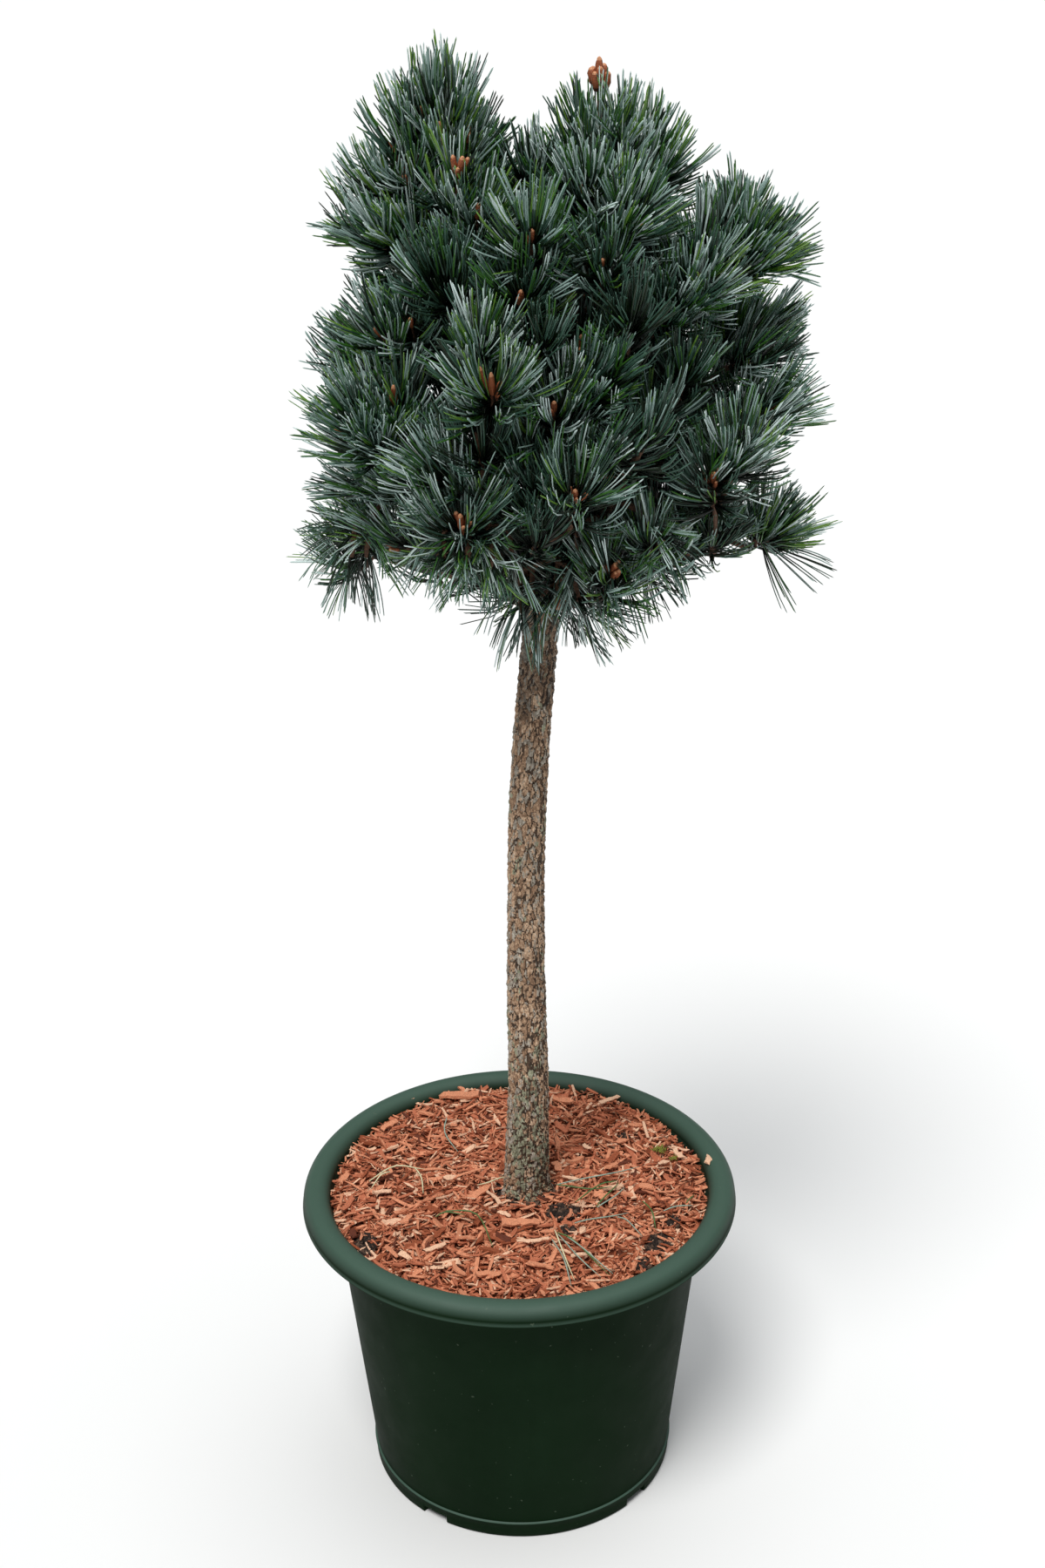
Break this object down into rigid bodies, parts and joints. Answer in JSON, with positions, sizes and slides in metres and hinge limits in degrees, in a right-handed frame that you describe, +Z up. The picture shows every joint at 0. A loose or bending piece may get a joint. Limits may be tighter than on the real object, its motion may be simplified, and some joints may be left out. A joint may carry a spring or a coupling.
{
  "type": "potted japanese white pine",
  "caption": "Young two-topped Japanese white pine with a bare lower stem and a dense blue-green crown, standing in a round green nursery pot topped with wood chips.",
  "frame": {"origin": "centre of the flat underside of the pot, on the surface it stands on", "axes": "+Z up along the height; -Y to the side on which both tops show; +X to the right seen from there"},
  "size_m": [0.474, 0.4434, 1.3563],
  "materials": {
    "pot_plastic": "dark green moulded plastic with a soft sheen and fine scuffs",
    "wood_chips": "reddish shredded wood chips over dark potting soil",
    "bark": "rough flaking grey-brown bark with green-grey lichen",
    "needles": "slender glaucous blue-green needles, darker green on the outer face"
  },
  "bodies": {
    "root": {"bough_back_left": "bark", "bough_back_right": "bark", "bough_back_upper": "bark", "bough_front_left": "bark", "bough_front_low": "bark", "bough_front_right": "bark", "bough_front_upper": "bark", "bough_leader_left": "bark", "bough_left_low": "bark", "bough_left_mid": "bark", "bough_left_upper": "bark", "bough_right_low": "bark", "bough_right_mid": "bark", "bough_right_upper": "bark", "mass_back_left": "needles", "mass_back_left_low": "needles", "mass_back_low": "needles", "mass_back_middle": "needles", "mass_back_right": "needles", "mass_back_right_low": "needles", "mass_back_upper_left": "needles", "mass_back_upper_right": "needles", "mass_front_left_low": "needles", "mass_front_left_upper": "needles", "mass_front_low": "needles", "mass_front_middle": "needles", "mass_front_middle_right": "needles", "mass_front_middle_upper": "needles", "mass_front_right_low": "needles", "mass_front_right_mid": "needles", "mass_front_right_upper": "needles", "mass_left_droop": "needles", "mass_left_edge": "needles", "mass_left_low_front": "needles", "mass_left_low_tip": "needles", "mass_left_mid_back": "needles", "mass_left_mid_front": "needles", "mass_left_mid_upper": "needles", "mass_left_shoulder": "needles", "mass_left_wing": "needles", "mass_left_wing_back": "needles", "mass_middle_low": "needles", "mass_right_edge": "needles", "mass_right_edge_upper": "needles", "mass_right_far": "needles", "mass_right_front_top": "needles", "mass_right_low_middle": "needles", "mass_right_low_tip": "needles", "mass_right_mid_front": "needles", "mass_right_mid_upper": "needles", "mass_right_shoulder": "needles", "mass_right_wing": "needles", "mass_spire_back": "needles", "mass_spire_front": "needles", "mass_top_left": "needles", "mass_top_middle": "needles", "mass_top_right": "needles", "pot": "pot_plastic", "soil_and_mulch": "wood_chips", "trunk": "bark"}
  },
  "joints": []
}
